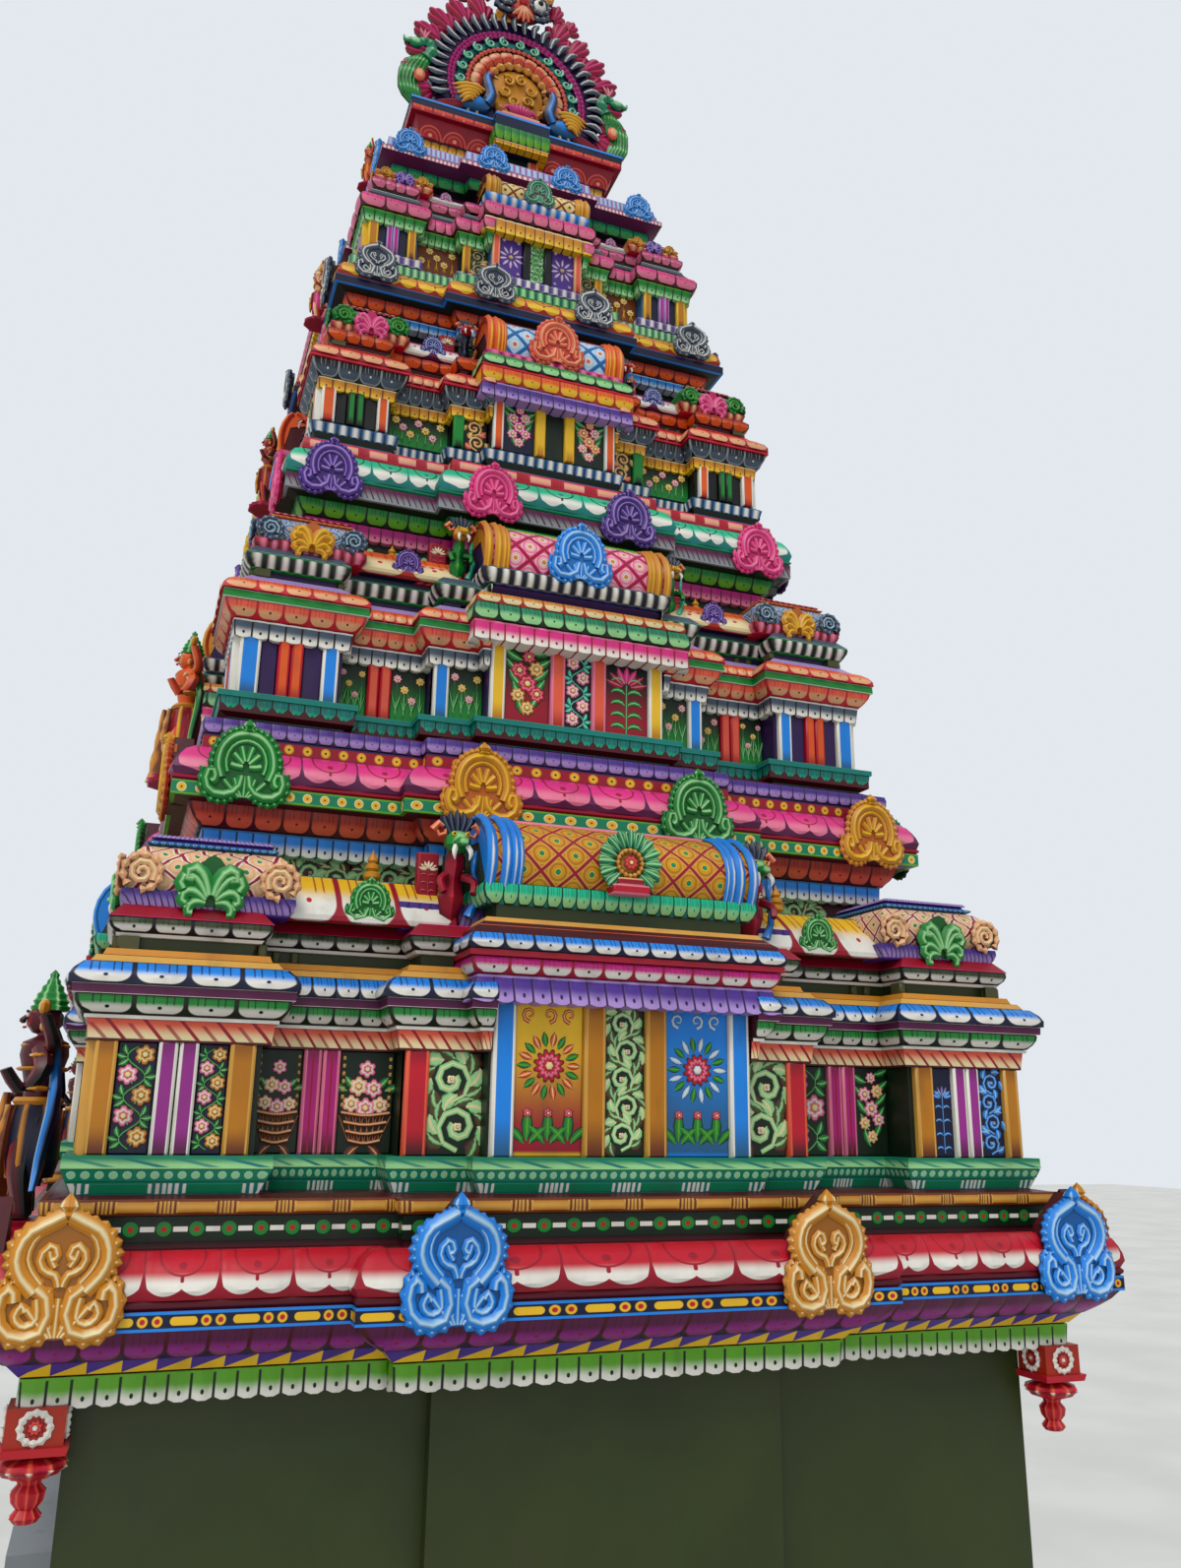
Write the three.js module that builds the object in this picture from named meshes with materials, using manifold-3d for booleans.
// A five storey gopuram, the painted gateway tower of a south Indian temple.
// Lengths are in millimetres, +Z is up and heights are measured from the ground.
// The short ends of the tower face -Y and +Y. The gateway runs through it along X.

import * as THREE from 'three';
import { mergeVertices } from 'three/addons/utils/BufferGeometryUtils.js';
import Module from 'manifold-3d';

const wasm = await Module();
wasm.setup();

// Ground storey: plain walls of real thickness on a moulded plinth

const GROUND = {
  halfX: 2170,
  halfY: 3745,
  wall: 500,
  height: 4190,
  plinthHeight: 820,
  endBayHalf: 800,
  endBayOut: 70,
  ceiling: 180,
};
const DOOR = { halfWidth: 1050, height: 2900, frameWidth: 200, frameOut: 20, frameDeep: 260 };
const BRACKET = { size: 200, top: 4190, bottom: 3800, gap: 1 };

// Upper storeys: half sizes on plan, then the heights of each moulded part

const UPPER_WALL = 380;
const BAY_DEPTH = 230;
const BAY_REACH = 130;
const SEAT = 5;
const CLEAR = 6;
const KUDU = { thickness: 110, proud: 25, smallest: 300 };
const PLINTH_REACH = 160;
const PLINTH = [[0, 160], [0.2, 160], [0.22, 110], [0.42, 110], [0.5, 40], [0.62, 40], [0.72, 120],
  [0.86, 120], [0.9, 20], [1, 0]];
const STOREYS = [
  {
    name: 'storey1', halfX: 2225, halfY: 3800, recess: 200, boss: 100,
    neckFrom: 4190, fringe: [4190, 4280, 105], slab: [4450, 4515, 308],
    cove: [[4345, 172], [4420, 178]],
    kapota: [[4525, 290], [4711.5, 240], [4712, 95]],
    block: [[4835, 85], [4845, 118], [4890, 120]],
    foot: [4905, 20], cap: [5000, 5045, 66], wallFrom: 5050, wallTop: 5490,
    cornice: [[5490, 25], [5580, 35], [5635, 88], [5700, 100], [5788, 62], [5852, -16]],
    bayTop: 5720, bayCornice: [[5720, 30], [5820, 45], [5910, 120], [6010, 110], [6070, 30]],
    parapet: [[5852, -67], [5915, -60], [5964, -12], [5990, -3], [6048, -62]],
    shrineTop: 6383, shalaFoot: 6180, shalaTop: 6570, kuduWidth: 400, kuduHeight: 460,
    kuduCorner: 2240, kuduMiddle: 820,
  },
  {
    name: 'storey2', halfX: 1785, halfY: 3100, recess: 150, boss: 90,
    neckFrom: 6048, fringe: [6434, 6522, 80], slab: [6640, 6704, 252],
    cove: [[6627, 145]],
    kapota: [[6724, 246], [6898.5, 163], [6899, 112]],
    block: [[7061, 124]],
    foot: [7108, 20], cap: [7125, 7223, 73], wallFrom: 7235, wallTop: 7549,
    cornice: [[7549, 22], [7628, 24], [7708, 86], [7754, 97], [7901, -51]],
    bayTop: 7682, bayCornice: [[7682, 25], [7769, 45], [7863, 90], [7935, 70]],
    parapet: [[7901, -51], [7943, -50], [8011, -3], [8079, -56]],
    shrineTop: 8344, shalaFoot: 8085, shalaTop: 8440, kuduWidth: 370, kuduHeight: 370,
    kuduCorner: 1720, kuduMiddle: 590,
  },
  {
    name: 'storey3', halfX: 1430, halfY: 2600, recess: 110, boss: 80,
    neckFrom: 8079, fringe: [8440, 8515, 25], slab: [8613, 8699, 172],
    cove: [[8600, 78]],
    kapota: [[8715, 165], [8905, 90]],
    block: [[8987, 66]],
    foot: [9010, 5], cap: [9071, 9127, 40], wallFrom: 9160, wallTop: 9381,
    cornice: [[9381, 8], [9441, 8], [9546, 76], [9703, -34]],
    bayTop: 9499, bayCornice: [[9499, 20], [9577, 40], [9674, 85], [9790, 50]],
    parapet: [[9703, -60], [9776, -20], [9831, -56]],
    shrineTop: 10080, shalaFoot: 9810, shalaTop: 10155, kuduWidth: 320, kuduHeight: 330,
    kuduCorner: 1360, kuduMiddle: 430,
  },
  {
    name: 'storey4', halfX: 1165, halfY: 2120, recess: 90, boss: 80,
    neckFrom: 9831, fringe: [10218, 10270, 70], slab: [10347, 10402, 205],
    cove: [[10340, 117]],
    kapota: [[10432, 169], [10565, 111]],
    block: [[10646, 104]],
    foot: [10665, 5], cap: [10720, 10775, 30], wallFrom: 10790, wallTop: 11020,
    cornice: [[11020, 20], [11091, 42], [11198, 50], [11295, -18]],
    bayTop: 11122, bayCornice: [[11122, 20], [11213, 55], [11330, 50]],
    parapet: [[11295, -40], [11360, -10], [11414, -39]],
    shrineTop: 11560, shalaFoot: 11425, shalaTop: 11640, kuduWidth: 230, kuduHeight: 230,
    kuduCorner: 1120, kuduMiddle: 350,
  },
];

// Where the bays of a side start, as shares of its half length, from the corner inwards
const END_BAYS = { corner: 0.71, middle: 0.44, centre: 0.285 };
const SIDE_BAYS = { corner: 0.84, centre: 0.36 };

// Crown: ledge, neck, slab, barrel vault, two gable arches and a ridge of finials

const CROWN = {
  baseHalfX: 925, baseHalfY: 1770, baseFrom: 11414,
  neckHalfX: 700, neckHalfY: 1520, neckFrom: 11990, slabFrom: 12340, slabTop: 12610,
  nicheHalf: 180, nicheOut: 95, roofHalf: 205, roofOut: 215, wall: 250,
};
const CROWN_LEDGE = [[11700, 55], [11760, 60], [11788, 64], [11820, 100], [11826, 152], [11875, 145],
  [11900, 110], [11980, 95], [11990, 60]];
const VAULT = { radius: 660, centre: 13000, foot: 560, halfLength: 1410, shell: 160 };
const ARCH = { radius: 740, flame: 900, centre: 13030, thickness: 190, foot: 700, flames: 9, gap: 0.5 };
const FACE_TOP = 14150;
const RIDGE = { halfWidth: 90, height: 110 };
const FINIAL = { count: 5, pitch: 560, height: 960, radius: 150 };

// Guardian figures stand on the ledges of the two lower storeys, on the long sides

const GUARDIANS = [
  { storey: 0, height: 1120, y: 3080, out: 218, foot: 4712.3 },
  { storey: 1, height: 900, y: 2440, out: 205, foot: 6899.3 },
];

const COLOURS = {
  wall: '#3d4423', plinth: '#8a8270', door: '#7c2f2a', ceiling: '#d8d2c4', bracket: '#a83a2a',
  storey1: ['#b4243c', '#1f8a63', '#2d7fd0', '#e0c33c'],
  storey2: ['#c72d84', '#1c7d78', '#c23a30', '#3c6fb4'],
  storey3: ['#1fa58a', '#3573a6', '#2b2b33', '#b73c8c'],
  storey4: ['#d8b53e', '#c79a2c', '#cf4f86', '#7a3f96'],
  crown: '#c7502b', slab: '#1d2c52', vault: '#c9973a', arch: '#8f2140', gold: '#c8952c',
};

// Solids from three.js geometry, and back

function toSolid(geometry) {
  const plain = geometry.index ? geometry.toNonIndexed() : geometry.clone();
  plain.deleteAttribute('normal');
  plain.deleteAttribute('uv');
  const merged = mergeVertices(plain, 0.01);
  return new wasm.Manifold(new wasm.Mesh({
    numProp: 3,
    vertProperties: new Float32Array(merged.attributes.position.array),
    triVerts: new Uint32Array(merged.index.array),
  }));
}

function toGeometry(solid) {
  const mesh = solid.getMesh();
  const geometry = new THREE.BufferGeometry();
  const places = new Float32Array((mesh.vertProperties.length / mesh.numProp) * 3);
  for (let i = 0; i < places.length / 3; i += 1) {
    for (let k = 0; k < 3; k += 1) places[3 * i + k] = mesh.vertProperties[mesh.numProp * i + k];
  }
  geometry.setAttribute('position', new THREE.BufferAttribute(places, 3));
  geometry.setIndex(new THREE.BufferAttribute(new Uint32Array(mesh.triVerts), 1));
  geometry.computeVertexNormals();
  return geometry;
}

function joined(solids) {
  return solids.reduce((whole, next) => whole.add(next));
}

function box(x0, x1, y0, y1, z0, z1) {
  const geometry = new THREE.BoxGeometry(x1 - x0, y1 - y0, z1 - z0);
  geometry.translate((x0 + x1) / 2, (y0 + y1) / 2, (z0 + z1) / 2);
  return toSolid(geometry);
}

// Plans: closed outlines whose edges run along X or Y, anticlockwise from above

function halfSide(half, bays) {
  // Bays are [where the bay starts, how far it stands out], from the corner to the middle.
  const points = [];
  for (let i = 1; i < bays.length; i += 1) {
    points.push([bays[i][0], bays[i - 1][1]], [bays[i][0], bays[i][1]]);
  }
  return [[half, 0], ...points];
}

function steppedPlan(halfX, halfY, endBays, sideBays) {
  const end = halfSide(halfX, [[halfX, 0], ...endBays]);
  const side = halfSide(halfY, [[halfY, 0], ...sideBays]);
  const quarter = [
    ...side.slice(1).reverse().map(([along, out]) => [halfX + out, along]),
    ...end.map(([along, out]) => [along, halfY + out]),
  ];
  const mirrored = (list, sx, sy) => list.map(([x, y]) => [sx * x, sy * y]);
  return [
    ...quarter,
    ...mirrored([...quarter].reverse(), -1, 1),
    ...mirrored(quarter, -1, -1),
    ...mirrored([...quarter].reverse(), 1, -1),
  ];
}

function storeyPlan(storey) {
  const { halfX, halfY, recess, boss } = storey;
  return steppedPlan(
    halfX, halfY,
    [[END_BAYS.corner * halfX, -recess], [END_BAYS.middle * halfX, 0], [END_BAYS.centre * halfX, boss]],
    [[SIDE_BAYS.corner * halfY, -recess], [SIDE_BAYS.centre * halfY, boss]],
  );
}

function ledgePlan(storey) {
  const { halfX, halfY, boss } = storey;
  return steppedPlan(halfX, halfY, [[0.4 * halfX, boss]], [[SIDE_BAYS.centre * halfY, boss]]);
}

function grown(outline, by) {
  // Every corner moves out along both of its edges' normals.
  const n = outline.length;
  return outline.map(([x, y], i) => {
    const [px, py] = outline[(i + n - 1) % n];
    const [qx, qy] = outline[(i + 1) % n];
    const normal = (dx, dy) => [Math.sign(dy), -Math.sign(dx)];
    const before = normal(x - px, y - py);
    const after = normal(qx - x, qy - y);
    return [x + by * (before[0] + after[0]), y + by * (before[1] + after[1])];
  });
}

function moulding(outline, profile) {
  // The outline is carried up the profile's [height, reach] pairs and closed top and bottom.
  const n = outline.length;
  const positions = [];
  for (const [z, reach] of profile) {
    for (const [x, y] of grown(outline, reach)) positions.push(x, y, z);
  }
  const index = [];
  for (let layer = 0; layer + 1 < profile.length; layer += 1) {
    for (let i = 0; i < n; i += 1) {
      const a = layer * n + i;
      const b = layer * n + ((i + 1) % n);
      index.push(a, b, b + n, a, b + n, a + n);
    }
  }
  const flat = (reach) => grown(outline, reach).map(([x, y]) => new THREE.Vector2(x, y));
  const top = (profile.length - 1) * n;
  for (const [a, b, c] of THREE.ShapeUtils.triangulateShape(flat(profile[0][1]), [])) {
    index.push(a, c, b);
  }
  for (const [a, b, c] of THREE.ShapeUtils.triangulateShape(flat(profile.at(-1)[1]), [])) {
    index.push(top + a, top + b, top + c);
  }
  const geometry = new THREE.BufferGeometry();
  geometry.setAttribute('position', new THREE.Float32BufferAttribute(positions, 3));
  geometry.setIndex(index);
  return toSolid(geometry);
}

function rectangle(halfX, halfY) {
  return [[halfX, -halfY], [halfX, halfY], [-halfX, halfY], [-halfX, -halfY]];
}

function hollowed(solid, halfX, halfY, z0, z1) {
  return solid.subtract(box(-halfX, halfX, -halfY, halfY, z0 - 50, z1 + 50));
}

// A side of the tower: 'end' faces -Y, 'side' faces +X, and each has its opposite

const SIDES = [
  { turn: 0, kind: 'end' },
  { turn: Math.PI / 2, kind: 'side' },
  { turn: Math.PI, kind: 'end' },
  { turn: -Math.PI / 2, kind: 'side' },
];

// Shapes are drawn as if for the -Y end and turned to their side of the tower.
function turned(solid, turn) {
  const c = Math.round(Math.cos(turn));
  const s = Math.round(Math.sin(turn));
  return solid.transform([c, s, 0, 0, -s, c, 0, 0, 0, 0, 1, 0, 0, 0, 0, 1]);
}

function onFace(x0, x1, depth0, depth1, z0, z1, turn) {
  // depth is measured from the tower's axis towards the side.
  return turned(box(x0, x1, -depth1, -depth0, z0, z1), turn);
}

function extruded(points, length) {
  // The outline in X and Z is given a thickness along Y, from 0 to -length.
  const shape = new THREE.Shape(points.map(([x, z]) => new THREE.Vector2(x, z)));
  const geometry = new THREE.ExtrudeGeometry(shape, { depth: length, bevelEnabled: false });
  geometry.rotateX(Math.PI / 2);
  return toSolid(geometry);
}

function moved(solid, x, y, z) {
  return solid.translate([x, y, z]);
}

function horseshoe(width, height) {
  // The kudu outline: a narrow foot, a round belly and a pointed tip.
  const w = width / 2;
  return [
    [-0.6 * w, 0], [0.6 * w, 0], [w, 0.3 * height], [0.7 * w, 0.68 * height], [0, height],
    [-0.7 * w, 0.68 * height], [-w, 0.3 * height],
  ];
}

function kudus(storey) {
  // Upright horseshoe plates on the front edge of the ledge.
  const foot = storey.slab[0] - 10;
  const list = [];
  for (const { turn, kind } of SIDES) {
    const stretch = kind === 'end' ? 0 : storey.halfY - storey.halfX;
    const middle = kind === 'end' ? storey.kuduMiddle : SIDE_BAYS.centre * storey.halfY - 60;
    const outer = storey.kuduCorner + stretch;
    const rim = faceDepth(storey, kind) + storey.slab[2] + KUDU.proud;
    for (const [x, out] of [[-outer, 0], [-middle, storey.boss], [middle, storey.boss], [outer, 0]]) {
      const plate = extruded(horseshoe(storey.kuduWidth, storey.kuduHeight), KUDU.thickness);
      list.push(turned(moved(plate, x, KUDU.thickness - rim - out, foot), turn));
    }
  }
  return list;
}

// Centre bays rise past the cornice of the bays beside them

function centreHalf(storey, kind) {
  return kind === 'end' ? END_BAYS.centre * storey.halfX : SIDE_BAYS.centre * storey.halfY;
}

function faceDepth(storey, kind) {
  return kind === 'end' ? storey.halfY : storey.halfX;
}

function centreBlocks(storey, side, front, z0, z1) {
  // Blocks as deep as the centre bays, grown sideways and reaching out past the wall.
  return SIDES.map(({ turn, kind }) => {
    const half = centreHalf(storey, kind) + side;
    const face = faceDepth(storey, kind);
    return onFace(-half, half, face - BAY_DEPTH, face + storey.boss + front, z0, z1, turn);
  });
}

function centreMouldings(storey) {
  // The centre bay's own cornice runs round three sides and dies into the ring behind.
  const deep = (storey.boss + BAY_DEPTH) / 2;
  return SIDES.map(({ turn, kind }) => {
    const half = centreHalf(storey, kind);
    const block = moulding(rectangle(half, deep), storey.bayCornice);
    const behind = box(-2 * half, 2 * half, deep, deep + BAY_DEPTH, 0, FACE_TOP);
    const y = deep - faceDepth(storey, kind) - storey.boss;
    return turned(moved(block.subtract(behind), 0, y, 0), turn);
  });
}

// Storey parts

function inside(storey) {
  return [storey.halfX - UPPER_WALL, storey.halfY - UPPER_WALL];
}

function storeyBase(storey) {
  const { fringe, cove, slab, kapota, block, foot, cap, wallFrom, neckFrom } = storey;
  const lower = [[fringe[0], fringe[2]], [fringe[1], fringe[2]], ...cove, [slab[0], slab[2]],
    [slab[1], slab[2]], ...kapota, ...block, [foot[0], foot[1]]];
  const upper = [[foot[0] - 5, foot[1]], [cap[0], cap[2]], [cap[1], cap[2]], [wallFrom, 0]];
  const pieces = [moulding(ledgePlan(storey), lower), moulding(storeyPlan(storey), upper)];
  if (fringe[0] > neckFrom) {
    const neck = rectangle(storey.halfX, storey.halfY);
    pieces.push(moulding(neck, [[neckFrom, 0], [fringe[0] + 5, 0]]));
  }
  if (storey.kuduHeight > KUDU.smallest) pieces.push(...kudus(storey));
  return hollowed(joined(pieces), ...inside(storey), neckFrom, wallFrom);
}

function storeyWall(storey) {
  const { wallFrom, wallTop, bayTop } = storey;
  const ring = moulding(storeyPlan(storey), [[wallFrom, 0], [wallTop, 0]]);
  const bays = centreBlocks(storey, 0, 0, wallTop - 5, bayTop);
  return hollowed(joined([ring, ...bays]), ...inside(storey), wallFrom, bayTop);
}

function storeyCornice(storey) {
  const { cornice, bayTop } = storey;
  const bays = joined(centreBlocks(storey, 0, 500, cornice[0][0] - 50, bayTop));
  const ring = moulding(storeyPlan(storey), cornice).subtract(bays);
  const whole = joined([ring, ...centreMouldings(storey)]);
  return hollowed(whole, ...inside(storey), cornice[0][0], storey.bayCornice.at(-1)[0]);
}

function cornerShrines(storey, next) {
  // A domed shrine, nearly square, over each corner bay.
  const z = storey.parapet.at(-1)[0] - SEAT;
  const rise = storey.shrineTop - z;
  const halfX = (storey.halfX * (1 - END_BAYS.corner)) / 2;
  const halfY = Math.min(halfX * 1.15, (storey.halfY - next.halfY) / 2 - 40);
  const dome = moulding(rectangle(halfX, halfY), [
    [z, -15], [z + 0.5 * rise, 0], [z + 0.8 * rise, -0.3 * halfX], [z + rise, -0.5 * halfX],
  ]);
  const x = storey.halfX - halfX - 60;
  const y = storey.halfY - halfY - 60;
  return [[x, y], [-x, y], [-x, -y], [x, -y]].map(([px, py]) => moved(dome, px, py, 0));
}

function barrelSection(depth, rise) {
  // From the back: upright, round top, swelling cheek, straight foot.
  return [
    [0, 0], [depth, 0], [1.06 * depth, 0.35 * rise], [0.98 * depth, 0.68 * rise],
    [0.72 * depth, 0.94 * rise], [0.5 * depth, rise], [0.28 * depth, 0.94 * rise],
    [0, 0.72 * rise],
  ];
}

function alongSide(section, from, to, back, z) {
  // A section drawn from its back outwards is carried along a side between two places.
  const piece = extruded(section, to - from).rotate([0, 0, -90]);
  return moved(piece, to, -back, z);
}

function barrelShrines(storey, next) {
  // A long barrel roofed shrine over each centre bay, on a base block.
  const z = storey.bayCornice.at(-1)[0];
  const rise = storey.shalaTop - storey.shalaFoot;
  return SIDES.map(({ turn, kind }) => {
    const half = centreHalf(storey, kind);
    const face = faceDepth(storey, kind) + storey.boss;
    const back = Math.max(faceDepth(next, kind) + next.boss + next.fringe[2] + CLEAR, face - 560);
    const barrel = alongSide(barrelSection(face - back - 20, rise), -half - 30, half + 30, back,
      storey.shalaFoot);
    const seam = faceDepth(storey, kind) - BAY_DEPTH;
    const front = box(-half + 20, half - 20, 20 - face, -seam, z, storey.shalaFoot + SEAT);
    const behind = box(-half + 20, half - 20, -seam, -back, storey.parapet.at(-1)[0] - SEAT,
      storey.shalaFoot + SEAT);
    return turned(joined([barrel, front, behind]), turn);
  });
}

function bayShrines(storey, next) {
  // A lower sloping roof between the corner shrine and the centre bay.
  const z = storey.parapet.at(-1)[0] - SEAT;
  const rise = 0.5 * (storey.shrineTop - z);
  return SIDES.flatMap(({ turn, kind }) => {
    const half = kind === 'end' ? storey.halfX : storey.halfY;
    const to = half * (kind === 'end' ? END_BAYS.corner : SIDE_BAYS.corner) - 40;
    const from = centreHalf(storey, kind) + BAY_REACH;
    const depth = faceDepth(storey, kind) - 90 - faceDepth(next, kind) - CLEAR;
    const section = [[0, 0], [depth, 0], [0.55 * depth, rise], [0, rise]];
    const back = faceDepth(next, kind) + CLEAR;
    return [[from, to], [-to, -from]].map(([a, b]) => turned(alongSide(section, a, b, back, z), turn));
  });
}

function storeyParapet(storey, next) {
  const from = storey.parapet[0][0];
  const top = storey.parapet.at(-1)[0];
  const bays = joined(centreBlocks(storey, BAY_REACH, 500, from - 50, storey.bayCornice.at(-1)[0]));
  const ring = moulding(storeyPlan(storey), storey.parapet).subtract(bays);
  const shrines = [...cornerShrines(storey, next), ...barrelShrines(storey, next),
    ...bayShrines(storey, next)];
  const neck = box(-next.halfX - SEAT, next.halfX + SEAT, -next.halfY - SEAT, next.halfY + SEAT,
    top + 0.3, top + 2000);
  const whole = joined([ring, ...shrines]).subtract(neck);
  return hollowed(whole, ...inside(next), from, top);
}

// Ground storey parts

function endWall(sign) {
  const { halfX, halfY, wall, height, plinthHeight, endBayHalf, endBayOut } = GROUND;
  const slab = box(-halfX, halfX, -halfY, -halfY + wall, plinthHeight, height);
  const bay = box(-endBayHalf, endBayHalf, -halfY - endBayOut, -halfY + 10, plinthHeight, height);
  return turned(slab.add(bay), sign < 0 ? 0 : Math.PI);
}

function gateWall(sign) {
  // A long wall between the end walls, with the gateway cut through it.
  const { halfX, halfY, wall, height, plinthHeight } = GROUND;
  const slab = box(-halfY + wall, halfY - wall, -halfX, -halfX + wall, plinthHeight, height);
  const { halfWidth, height: top } = DOOR;
  const gate = box(-halfWidth, halfWidth, -halfX - 50, -halfX + wall + 50, plinthHeight - 50, top);
  return turned(slab.subtract(gate), sign < 0 ? -Math.PI / 2 : Math.PI / 2);
}

function plinthPlan() {
  const { halfX, halfY, endBayHalf, endBayOut } = GROUND;
  return steppedPlan(halfX, halfY, [[endBayHalf, endBayOut]],
    [[0.45 * halfY, endBayOut]]);
}

function plinth(sign) {
  // Stone mouldings under the walls of one end, from jamb to jamb of the gateway.
  const h = GROUND.plinthHeight;
  const course = moulding(plinthPlan(), PLINTH.map(([share, reach]) => [share * h, reach]));
  const { halfX, halfY, wall } = GROUND;
  const room = box(-halfX + wall, halfX - wall, -halfY + wall, halfY - wall, -50, h + 50);
  const gate = box(-halfX - 900, halfX + 900, -DOOR.halfWidth, DOOR.halfWidth, -50, h + 50);
  const far = box(-halfX - 900, halfX + 900, 0, halfY + 900, -50, h + 50);
  return turned(course.subtract(room).subtract(gate).subtract(far), sign < 0 ? 0 : Math.PI);
}

function doorFrame(sign) {
  // Two stone jambs and a lintel line the gateway and stand proud of the wall.
  const { halfWidth, height, frameWidth, frameOut } = DOOR;
  const outer = GROUND.halfX + GROUND.endBayOut + PLINTH_REACH + frameOut;
  const frame = box(-halfWidth, halfWidth, -outer, -GROUND.halfX + DOOR.frameDeep, 0, height);
  const way = box(-halfWidth + frameWidth, halfWidth - frameWidth, -outer - 50, 0, -50,
    height - frameWidth);
  return turned(frame.subtract(way), sign < 0 ? -Math.PI / 2 : Math.PI / 2);
}

function ceiling() {
  const { halfX, halfY, wall, height } = GROUND;
  return box(-halfX + wall, halfX - wall, -halfY + wall, halfY - wall, height - GROUND.ceiling, height);
}

function bracket(signX, signY) {
  // A square block under the cornice carries a plate, a bell and a bud below it.
  const { size, top, bottom } = BRACKET;
  const drop = top - bottom;
  const square = box(-size / 2, size / 2, -size / 2, size / 2, top - 0.42 * drop, top);
  const profile = [[0, 0], [0.26, 0.12], [0.2, 0.2], [0.58, 0.44], [0.62, 0.52], [0.34, 0.54],
    [0.34, 0.62], [0, 0.62]];
  const points = profile.map(([r, h]) => new THREE.Vector2(r * size, bottom + h * drop));
  const turnedPart = new THREE.LatheGeometry(points, 8).rotateX(Math.PI / 2);
  const x = signX * (GROUND.halfX + size / 2 + BRACKET.gap);
  const y = signY * (GROUND.halfY + size / 2 + BRACKET.gap);
  return moved(square.add(toSolid(turnedPart)), x, y, 0);
}

// Crown parts

const CROWN_PLAN = {
  halfX: CROWN.baseHalfX, halfY: CROWN.baseHalfY, boss: 70, recess: 0, fringe: [11700, 11760, 55],
};

function crownBase() {
  const plan = ledgePlan(CROWN_PLAN);
  const ledge = moulding(plan, CROWN_LEDGE);
  const neck = moulding(rectangle(CROWN.baseHalfX, CROWN.baseHalfY),
    [[CROWN.baseFrom, 0], [CROWN_LEDGE[0][0] + 5, 0]]);
  return hollowed(ledge.add(neck), CROWN.baseHalfX - UPPER_WALL, CROWN.baseHalfY - UPPER_WALL,
    CROWN.baseFrom, CROWN.neckFrom);
}

function crownNeck() {
  const { neckHalfX, neckHalfY, neckFrom, slabFrom, nicheHalf, nicheOut } = CROWN;
  const walls = box(-neckHalfX, neckHalfX, -neckHalfY, neckHalfY, neckFrom, slabFrom);
  const ring = hollowed(walls, neckHalfX - CROWN.wall, neckHalfY - CROWN.wall, neckFrom, slabFrom);
  const niches = SIDES.map(({ turn, kind }) => {
    const face = kind === 'end' ? neckHalfY : neckHalfX;
    return onFace(-nicheHalf, nicheHalf, face - 60, face + nicheOut, neckFrom, slabFrom, turn);
  });
  return joined([ring, ...niches]);
}

function crownSlab() {
  // A flaring lotus band carries the slab, which steps out over each niche.
  const { neckHalfX, neckHalfY, slabFrom, slabTop, roofHalf, roofOut } = CROWN;
  const slab = moulding(rectangle(neckHalfX, neckHalfY), [
    [slabFrom, 44], [slabFrom + 150, 100], [slabFrom + 185, 140], [slabTop, 147],
  ]);
  const roofs = SIDES.map(({ turn, kind }) => {
    const face = kind === 'end' ? neckHalfY : neckHalfX;
    return onFace(-roofHalf, roofHalf, face - 60, face + roofOut, slabFrom, slabTop, turn);
  });
  return joined([slab, ...roofs]);
}

function arc(radius, from, to, steps) {
  return Array.from({ length: steps + 1 }, (_, i) => {
    const angle = from + ((to - from) * i) / steps;
    return [radius * Math.cos(angle), radius * Math.sin(angle)];
  });
}

function mirroredAcross(points) {
  return points.map(([x, z]) => [-x, z]).reverse();
}

function crownVault() {
  // A barrel vault with a straight foot, open inside from end to end.
  const { radius, centre, foot, halfLength, shell } = VAULT;
  const base = CROWN.slabTop;
  const low = -Math.asin((centre - base) / radius) + 0.12;
  const seat = Math.acos(RIDGE.halfWidth / radius);
  const cheek = arc(radius, low, seat, 7).map(([x, z]) => [x, z + centre]);
  const outline = [[foot, base], ...cheek, ...mirroredAcross(cheek), [-foot, base]];
  const inner = radius - shell;
  const hole = [[-foot + shell, base + shell], [foot - shell, base + shell],
    ...arc(inner, 0, Math.PI, 8).map(([x, z]) => [x, z + centre])];
  const solid = moved(extruded(outline, 2 * halfLength), 0, halfLength, 0);
  return solid.subtract(moved(extruded(hole, 2 * halfLength + 100), 0, halfLength + 50, 0));
}

function gableArch(sign) {
  // A horseshoe arch with flame leaves, scroll ends and a crowning face.
  const { flame, radius, centre, thickness, foot, flames } = ARCH;
  const rim = [];
  const start = -0.12;
  const sweep = Math.PI - 2 * start;
  for (let i = 0; i <= 2 * flames; i += 1) {
    const reach = i % 2 === 0 ? radius + 60 : flame;
    const angle = start + (sweep * i) / (2 * flames);
    rim.push([reach * Math.cos(angle), centre + reach * Math.sin(angle)]);
  }
  const scroll = [[foot, CROWN.slabTop], [foot + 130, CROWN.slabTop + 90], [foot + 150, centre - 130]];
  const outline = [...scroll, ...rim, ...mirroredAcross(scroll)];
  const face = [[-230, centre + radius - 60], [230, centre + radius - 60], [270, centre + radius + 190],
    [150, FACE_TOP - 60], [0, FACE_TOP], [-150, FACE_TOP - 60], [-270, centre + radius + 190]];
  const plate = extruded(outline, thickness).add(moved(extruded(face, thickness + 60), 0, 0, 0));
  const front = VAULT.halfLength + ARCH.gap;
  return turned(moved(plate, 0, -front, 0), sign < 0 ? 0 : Math.PI);
}

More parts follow.
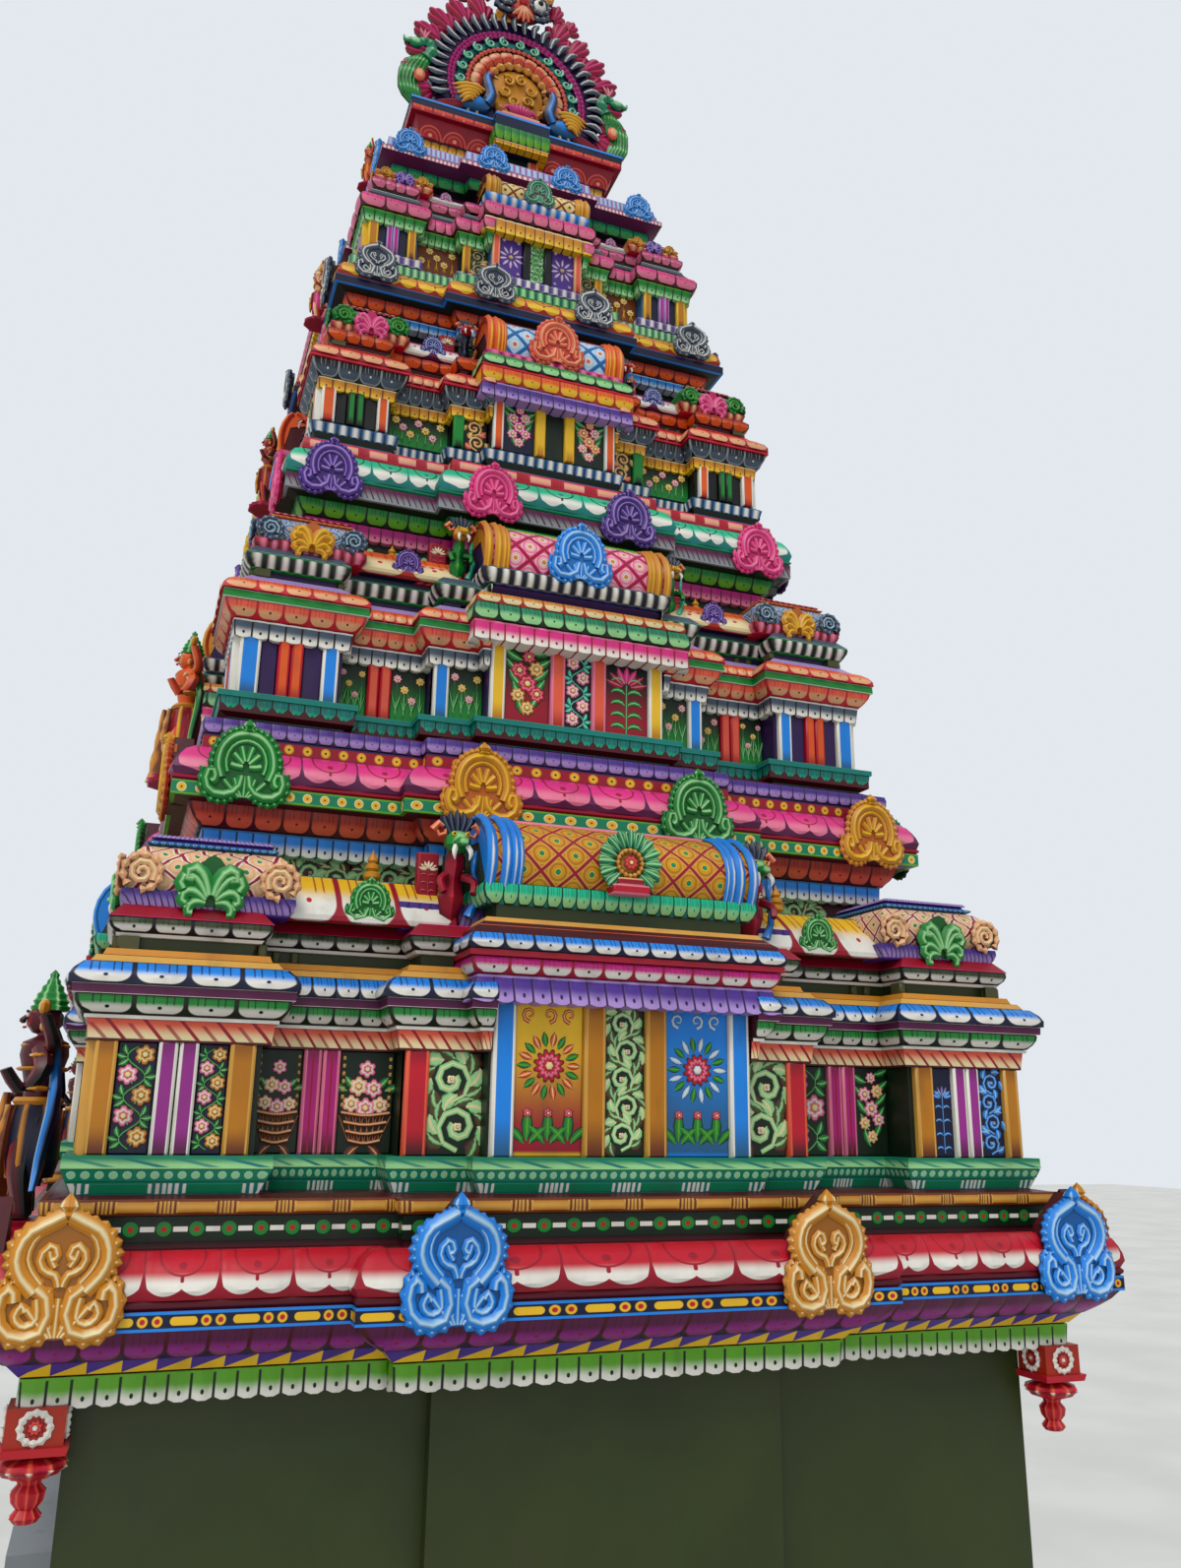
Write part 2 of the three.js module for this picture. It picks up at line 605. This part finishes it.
function ridge() {
  // A ridge beam with a row of pot shaped finials.
  const { halfWidth, height } = RIDGE;
  const seat = VAULT.centre + Math.sqrt(VAULT.radius ** 2 - halfWidth ** 2);
  const top = seat + height;
  const beam = box(-halfWidth, halfWidth, -VAULT.halfLength, VAULT.halfLength, seat, top);
  const pot = [[0, 0], [0.75, 0], [1, 0.2], [0.9, 0.34], [0.35, 0.46], [0.6, 0.54], [0.25, 0.64],
    [0.4, 0.72], [0, 1]];
  const points = pot.map(([r, h]) => new THREE.Vector2(r * FINIAL.radius, h * FINIAL.height));
  const finial = toSolid(new THREE.LatheGeometry(points, 6).rotateX(Math.PI / 2));
  const row = Array.from({ length: FINIAL.count }, (_, i) => (
    moved(finial, 0, (i - (FINIAL.count - 1) / 2) * FINIAL.pitch, top - SEAT)));
  return joined([beam, ...row]);
}

// Guardian figures: plain standing forms, each on its own foot block

function limb(radius0, radius1, from, to) {
  const start = new THREE.Vector3(...from);
  const end = new THREE.Vector3(...to);
  const geometry = new THREE.CylinderGeometry(radius1, radius0, start.distanceTo(end), 5, 1);
  const up = new THREE.Vector3(0, 1, 0);
  const aim = new THREE.Quaternion().setFromUnitVectors(up, end.clone().sub(start).normalize());
  geometry.applyQuaternion(aim);
  geometry.translate(...start.add(end).multiplyScalar(0.5).toArray());
  return toSolid(geometry);
}

function guardian(height) {
  // Facing -Y with the feet at the origin: skirt, waist, chest, neck, head and crown in one.
  const h = height;
  const profile = [[0, 0], [0.13, 0], [0.1, 0.3], [0.14, 0.47], [0.1, 0.55], [0.16, 0.7], [0.05, 0.76],
    [0.09, 0.85], [0.03, 1], [0, 1]];
  const points = profile.map(([r, z]) => new THREE.Vector2(r * h, z * h));
  const body = new THREE.LatheGeometry(points, 6).rotateX(Math.PI / 2).scale(1, 0.7, 1);
  const arm = (side) => (
    limb(0.045 * h, 0.035 * h, [side * 0.11 * h, 0, 0.69 * h], [side * 0.26 * h, -0.06 * h, 0.52 * h]));
  return joined([toSolid(body), arm(-1), arm(1)]);
}

function placedGuardian({ storey, height, y, out, foot }, signX, signY) {
  const x = signX * (STOREYS[storey].halfX + out);
  const facing = guardian(height).rotate([0, 0, signX > 0 ? 90 : -90]);
  return moved(facing, x, signY * y, foot);
}

// The whole gopuram

function material(colour) {
  return new THREE.MeshStandardMaterial({ color: colour, roughness: 0.6, metalness: 0 });
}

const gopuram = new THREE.Group();

function place(name, solid, colour) {
  const mesh = new THREE.Mesh(toGeometry(solid), material(colour));
  mesh.name = name;
  gopuram.add(mesh);
}

const ENDS = { south: -1, north: 1 };
const GATES = { back: -1, front: 1 };

for (const [name, sign] of Object.entries(ENDS)) {
  place(`plinth_${name}`, plinth(sign), COLOURS.plinth);
  place(`end_wall_${name}`, endWall(sign), COLOURS.wall);
}
for (const [name, sign] of Object.entries(GATES)) {
  place(`${name}_wall`, gateWall(sign), COLOURS.wall);
  place(`${name}_door_frame`, doorFrame(sign), COLOURS.door);
}
place('gateway_ceiling', ceiling(), COLOURS.ceiling);
for (const [end, y] of Object.entries(ENDS)) {
  for (const [gate, x] of Object.entries(GATES)) {
    place(`bracket_${end}_${gate}`, bracket(x, y), COLOURS.bracket);
  }
}

STOREYS.forEach((storey, i) => {
  const next = STOREYS[i + 1] ?? CROWN_PLAN;
  const [base, wall, cornice, parapet] = COLOURS[storey.name];
  place(`${storey.name}_base`, storeyBase(storey), base);
  place(`${storey.name}_wall`, storeyWall(storey), wall);
  place(`${storey.name}_cornice`, storeyCornice(storey), cornice);
  place(`${storey.name}_parapet`, storeyParapet(storey, next), parapet);
});

place('crown_base', crownBase(), COLOURS.crown);
place('crown_neck', crownNeck(), COLOURS.crown);
place('crown_slab', crownSlab(), COLOURS.slab);
place('crown_vault', crownVault(), COLOURS.vault);
place('gable_arch_south', gableArch(-1), COLOURS.arch);
place('gable_arch_north', gableArch(1), COLOURS.arch);
place('ridge_finials', ridge(), COLOURS.gold);

for (const figure of GUARDIANS) {
  for (const [end, y] of Object.entries(ENDS)) {
    for (const [gate, x] of Object.entries(GATES)) {
      place(`${STOREYS[figure.storey].name}_guardian_${end}_${gate}`,
        placedGuardian(figure, x, y), COLOURS.bracket);
    }
  }
}

export default gopuram;
